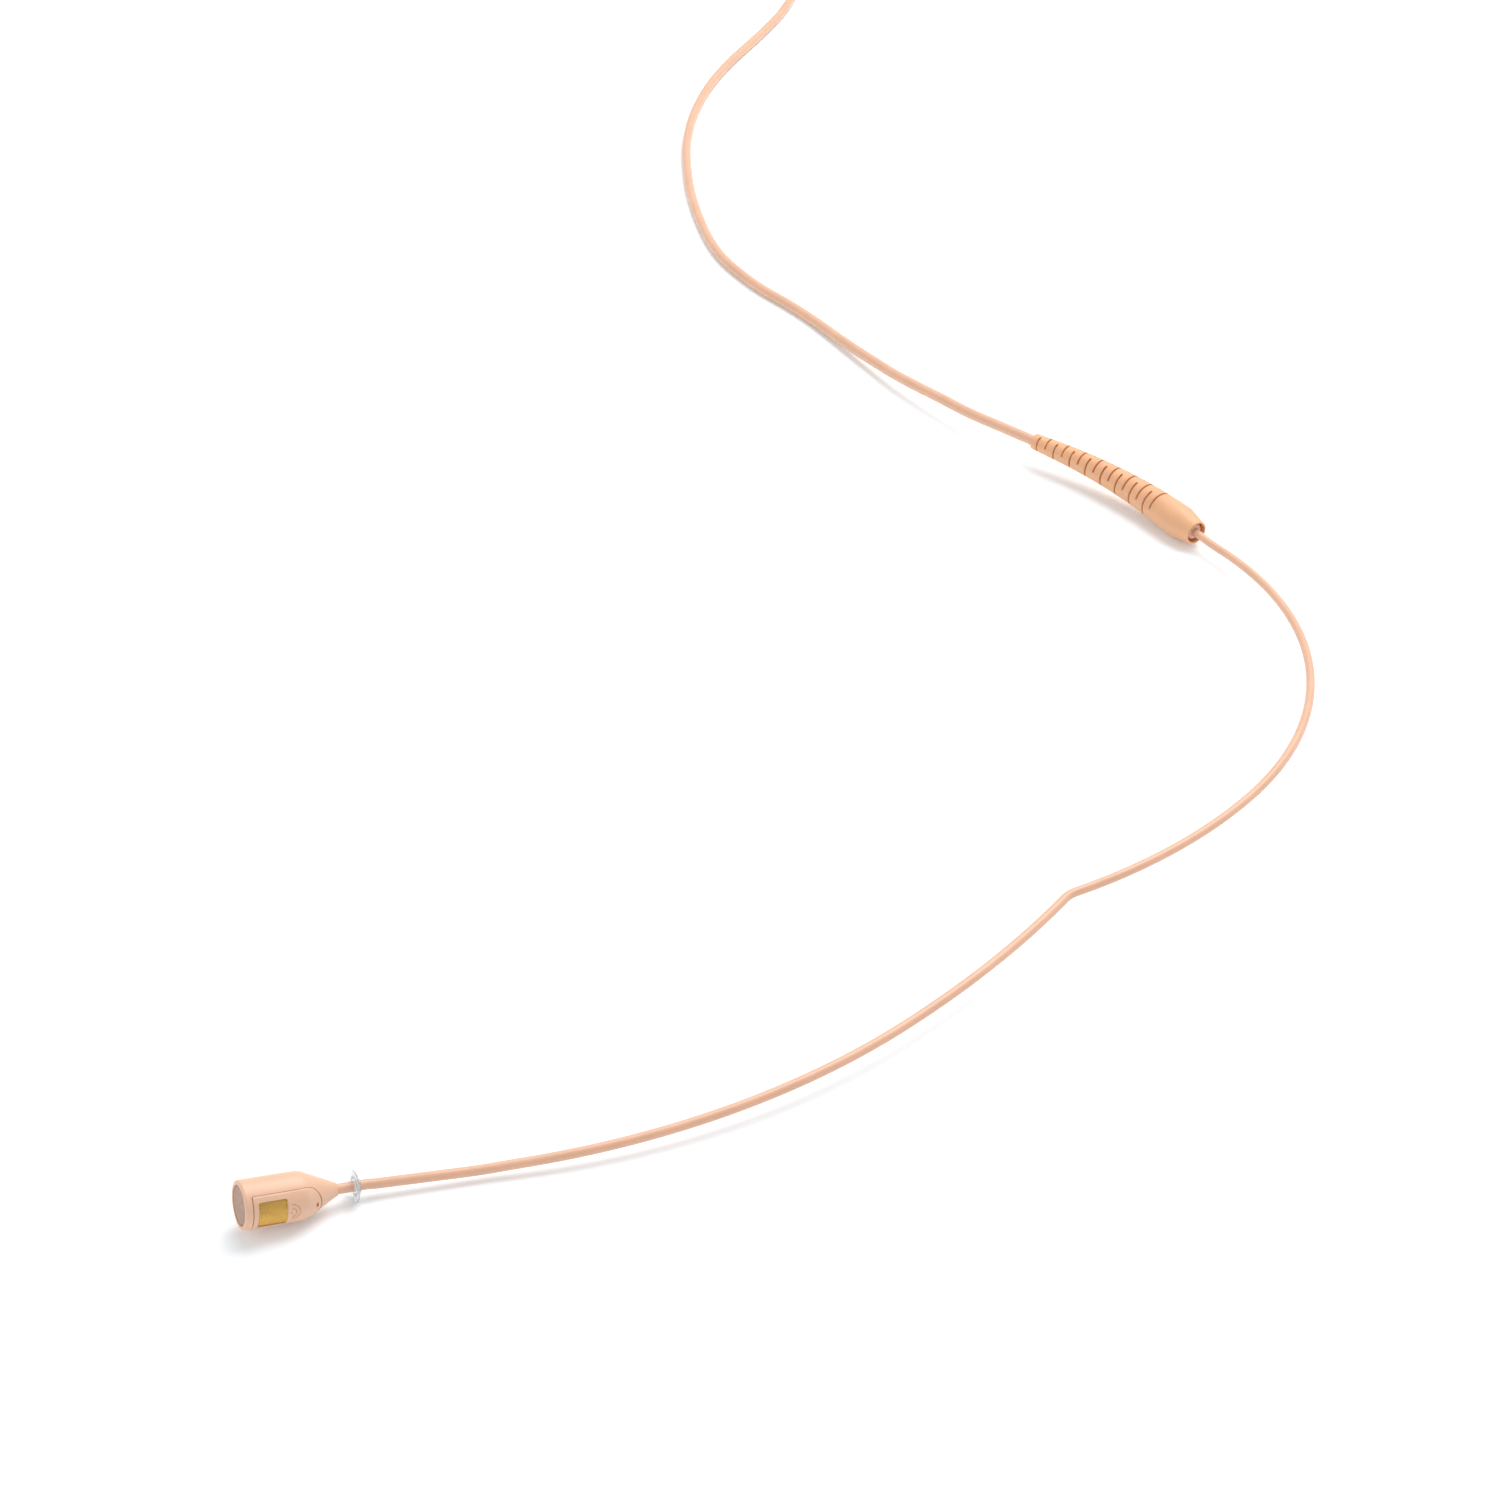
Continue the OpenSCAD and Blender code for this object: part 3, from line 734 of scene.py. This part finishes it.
def disc():
    # a thin cupped disc on a short tapered hub, with a soft outer bead
    r0 = 0.605
    prof = fillet([(0.0, r0, 0.03), (-0.02, 0.95, 0.1), (0.02, 1.35, 0.3), (0.12, 1.74, 0.06), (0.24, 1.79, 0.06), (0.31, 1.70, 0.05),
                   (0.22, 1.3, 0.2), (0.22, 0.98, 0.12), (0.5, 0.88, 0.15), (0.77, 0.80, 0.08), (0.78, r0, 0.03)], 5)
    prof = densify(prof, 0.08)
    m = M_CAP @ T(1.75, 0, 0)
    return lathe("moisture_disc_lip", m, prof, "clear_silicone", seg=120, body="moisture_disc", node="moisture_disc")


RL, RD, PITCH = 32.9, 4.9, 1.575


def relief_r(x):
    return RD / 2 + (1.25 - RD / 2) * (x - 3.7) / (RL - 4.4)


def relief_disp(X, R, PH):
    R2 = R.copy()
    outer = R > 1.0
    deg = np.degrees(PH)
    for k in range(16):
        xk = RL - 1.25 - PITCH * k
        near = np.abs(X - xk) < 0.3
        if not near.any():
            continue
        depth = 0.30 + 0.22 * k / 15
        # even rings have their slots on the two sides, odd ones on top and bottom
        for c, half in ((0, 73), (180, 63)) if k % 2 == 0 else ((90, 73), (270, 43)):
            da = np.abs((deg - c + 180) % 360 - 180)
            arc = np.maximum(da - half, 0) * math.pi / 180 * R
            g = 1 - smoothstep(0.13, 0.185, np.hypot(arc, X - xk))
            R2 = np.where(near & outer & (R > relief_r(X) - 0.15), R2 - depth * g, R2)
    return R2


def strain_relief():
    xs = []
    base = np.linspace(5.2, RL - 0.7, 110)
    for k in range(16):
        xk = RL - 1.25 - PITCH * k
        xs += list(xk + np.array([-0.26, -0.2, -0.185, -0.168, -0.15, -0.13, -0.1, -0.05, 0, 0.05, 0.1, 0.13, 0.15, 0.168, 0.185, 0.2, 0.26]))
    xs = sorted(xs + [x for x in base if all(abs(x - (RL - 1.25 - PITCH * k)) > 0.3 for k in range(16))])
    xs = [x for x in xs if x < RL - 0.75]
    head = fillet([(0.5, 1.5, 0), (0.0, 1.5, 0.05), (0.0, 1.73, 0.07), (3.35, 2.40, 0.9), (5.2, float(relief_r(5.2)), 0)], 7)
    head = head[:-1]
    mid = np.array([[x, relief_r(x)] for x in xs if x > 5.2])
    tail = fillet([(RL - 0.72, float(relief_r(RL - 0.72)), 0), (RL - 0.05, 1.20, 0.08), (RL, 0.83, 0.03), (RL - 0.6, 0.82, 0)], 5)
    inner = np.array([[20.0, 0.82], [10.1, 0.82], [9.6, 1.5], [5.0, 1.5]])
    prof = np.concatenate([head, mid, tail[1:], inner])
    return lathe("strain_relief_boot", M_RELIEF, prof, "relief_rubber", seg=240, disp=relief_disp, node="strain_relief", sharp=50, along=bent)


def ferrule():
    prof = fillet([(4.6, 0.59), (0.34, 0.59, 0.03), (0.30, 0.82, 0.08), (0.45, 1.16, 0.25), (0.95, 1.37, 0.3), (1.9, 1.37, 0.1), (2.05, 1.10, 0.05), (4.6, 1.10, 0.04)], 7)
    prof = densify(prof, 0.25)
    return lathe("ferrule_dome", M_RELIEF, prof, "skin_jacket", seg=72, node="boom_ferrule")


# ------------------------------------------------------------------ tie and connector
def tie():
    """A hook and loop strap round the coil."""
    n = 40
    lo, hi, zi, zo = 5.12, 13.88, 0.04, 7.06
    outline = fillet([(lo, zi, 1.0), (hi, zi, 1.0), (hi, zo, 1.2), (lo, zo, 1.2)], 8)
    inner = fillet([(lo + 0.28, zi + 0.26, 0.8), (hi - 0.28, zi + 0.26, 0.8), (hi - 0.28, zo - 0.3, 1.0), (lo + 0.28, zo - 0.3, 1.0)], 8)
    P = []
    for prof in (outline, inner[::-1]):
        pass
    ang = np.radians(np.linspace(190.5, 213.5, 26))
    k = len(outline)
    ring = np.concatenate([outline, inner])
    V, F = [], []
    for a in ang:
        V.append(np.c_[COIL_C[0] + ring[:, 0] * np.cos(a), COIL_C[1] + ring[:, 0] * np.sin(a), ring[:, 1]])
    m = 2 * k
    for i in range(len(ang) - 1):
        for j in range(k):
            j2 = (j + 1) % k
            F.append((i * m + j, i * m + j2, (i + 1) * m + j2, (i + 1) * m + j))
            F.append((i * m + k + j, (i + 1) * m + k + j, (i + 1) * m + k + j2, i * m + k + j2))
    e = (len(ang) - 1) * m
    for j in range(k):
        j2 = (j + 1) % k
        F.append((j, k + j, k + j2, j2))
        F.append((e + j, e + j2, e + k + j2, e + k + j))
    return make("coil_strap", np.concatenate(V), F, "dark_tie", node="coil_tie", sharp=45)


def connector_parts():
    out = []
    # rubber boot with ribs
    xs = np.linspace(0.25, 5.4, 120)
    rib = 1.25 + (1.72 - 1.25) * (xs - 0.25) / 5.15 - 0.12 * (0.5 + 0.5 * np.cos(2 * math.pi * xs / 0.85)) ** 3
    prof = np.concatenate([[[0.02, 0.83], [0.0, 1.02], [0.08, 1.13]], np.c_[xs, rib], [[5.6, 1.74], [5.92, 1.74], [5.99, 1.68], [5.99, 0.83]]])
    out.append(lathe("connector_boot_ribbed", M_CON, prof, "black_rubber", seg=64, node="connector_boot", sharp=50))
    # crimp with pressed flats
    prof = densify(fillet([(6.03, 0.83), (6.03, 1.72, 0.06), (9.2, 1.72, 0.06), (9.2, 0.83)], 4), 0.12)

    def hexed(X, R, PH):
        f = 1.52 / np.cos((PH + math.pi / 6) % (math.pi / 3) - math.pi / 6)
        g = smoothstep(6.6, 6.8, X) * (1 - smoothstep(8.5, 8.7, X)) * (R > 1.4)
        return np.where(g > 0, R * (1 - g) + np.minimum(R, f) * g, R)
    out.append(lathe("crimp_barrel", M_CON, prof, "gold_metal", seg=96, disp=hexed, node="connector_crimp"))
    # body with flange
    prof = fillet([(9.24, 1.21), (9.24, 1.97, 0.08), (12.3, 1.97, 0.05), (12.3, 2.32, 0.05), (13.2, 2.32, 0.08), (13.2, 1.97, 0.05), (13.84, 1.97, 0.1), (13.84, 1.21, 0.05)], 4)
    out.append(lathe("connector_shell", M_CON, prof, "gold_metal", seg=72, node="connector_body"))
    # snap ring, with its gap drawn as a notch
    prof = densify(fillet([(10.56, 2.02, 0.03), (10.56, 2.57, 0.1), (10.98, 2.57, 0.1), (10.98, 2.02, 0.03)], 4), 0.08)

    def gap(X, R, PH):
        g = 1 - smoothstep(0.10, 0.14, np.abs((PH - math.pi / 2 + math.pi) % (2 * math.pi) - math.pi))
        return np.where(R > 2.1, R - 0.45 * g, R)
    out.append(lathe("snap_ring", M_CON, prof, "bright_metal", seg=180, disp=gap, node="nut_retaining_ring"))
    # knurled nut with a real thread inside
    bore = np.linspace(19.2, 12.3, 190)
    prof = np.concatenate([fillet([(12.2, 2.08), (11.1, 2.08, 0.06), (11.1, 2.7, 0.05), (11.42, 2.99, 0.05), (17.55, 2.99, 0.05), (17.95, 2.7, 0.05), (19.2, 2.7, 0.08), (19.38, 2.52, 0.04), (19.38, 2.45, 0.02), (19.25, 2.44)], 4)[:-1]])
    prof = densify(prof, 0.09)
    prof = np.array([p for p in prof if not (p[1] < 2.44 and 12.25 < p[0] < 19.2)])
    prof = np.concatenate([prof, np.c_[bore, np.full(len(bore), 2.4)]])

    def nut(X, R, PH):
        g = smoothstep(11.6, 11.8, X) * (1 - smoothstep(17.2, 17.4, X)) * (R > 2.9)
        a, b = PH * 2.99 / 0.42 * 0.5, X / 0.42 * math.pi
        a = PH * 22
        kn = 0.5 * (np.abs(np.sin((a + b * 0.9) / 1.0)) + np.abs(np.sin((a - b * 0.9) / 1.0)))
        R2 = R - 0.16 * g * (1 - kn)
        th = (R < 2.43) & (X > 12.5) & (X < 19.15)
        return np.where(th, R + 0.13 * np.abs(((X / 0.794 - PH / (2 * math.pi)) % 1) * 2 - 1), R2)
    out.append(lathe("knurled_nut", M_CON, prof, "gold_metal", seg=264, disp=nut, body="coupling_nut", node="coupling_nut", sharp=60))
    prof = fillet([(9.9, 0.40), (9.9, 1.16, 0.05), (16.28, 1.16, 0.1), (16.28, 0.40, 0.03)], 4)
    out.append(lathe("insulator_sleeve", M_CON, prof, "white_plastic", seg=48, node="connector_insulator"))
    prof = fillet([(9.6, 1e-4), (9.6, 0.35, 0.03), (16.32, 0.35), (16.32, 0.41, 0.03), (18.45, 0.41, 0.12), (18.7, 0.16, 0.1), (18.7, 1e-4)], 5)
    out.append(lathe("contact_pin", M_CON, prof, "gold_metal", seg=40, node="center_contact", weld=0.002))
    return out


cable_ob = cable()
housing()
for side_k in (0, 1):
    side_plate(side_k)
    side_weave(side_k)
    backing(side_k)
front_disc()
boom()
disc()
relief_ob = strain_relief()
ferrule()
strap = tie()
con = connector_parts()
print("ROUTE LENGTH mm", round(ROUTE_LEN, 1))


# ------------------------------------------------------------------ stage and light
def floor():
    me = bpy.data.meshes.new("floor")
    s = 6.0
    me.from_pydata([(-s, -s, 0), (s, -s, 0), (s, s, 0), (-s, s, 0)], [], [(0, 1, 2, 3)])
    ob = bpy.data.objects.new("floor", me)
    bpy.context.scene.collection.objects.link(ob)
    m, nt, p = new_mat("floor")
    p.inputs["Base Color"].default_value = (0.905, 0.95, 0.98, 1)
    p.inputs["Roughness"].default_value = 0.9
    p.inputs["Specular IOR Level"].default_value = 0.0
    p.inputs["Emission Color"].default_value = (0.93, 0.97, 1, 1)
    p.inputs["Emission Strength"].default_value = 0.12
    me.materials.append(m)
    return ob


def light(name, loc, target, size, power, col=(1, 1, 1)):
    d = bpy.data.lights.new(name, "AREA")
    d.shape = "DISK"
    d.size = size
    d.energy = power
    d.color = col
    o = bpy.data.objects.new(name, d)
    bpy.context.scene.collection.objects.link(o)
    o.location = loc
    o.rotation_euler = (Vector(target) - Vector(loc)).to_track_quat("-Z", "Y").to_euler()
    return o


floor()
light("key", (0.33, 0.52, 1.02), (0, 0.03, 0), 1.1, 13.2)
light("fill", (-0.9, -0.5, 0.8), (0, 0, 0), 0.9, 2.0)
w = bpy.data.worlds.new("world")
bpy.context.scene.world = w
w.use_nodes = True
w.node_tree.nodes["Background"].inputs["Color"].default_value = (1, 1, 1, 1)
w.node_tree.nodes["Background"].inputs["Strength"].default_value = 0.57
bpy.context.scene.view_settings.view_transform = "Standard"
bpy.context.scene.view_settings.look = "None"
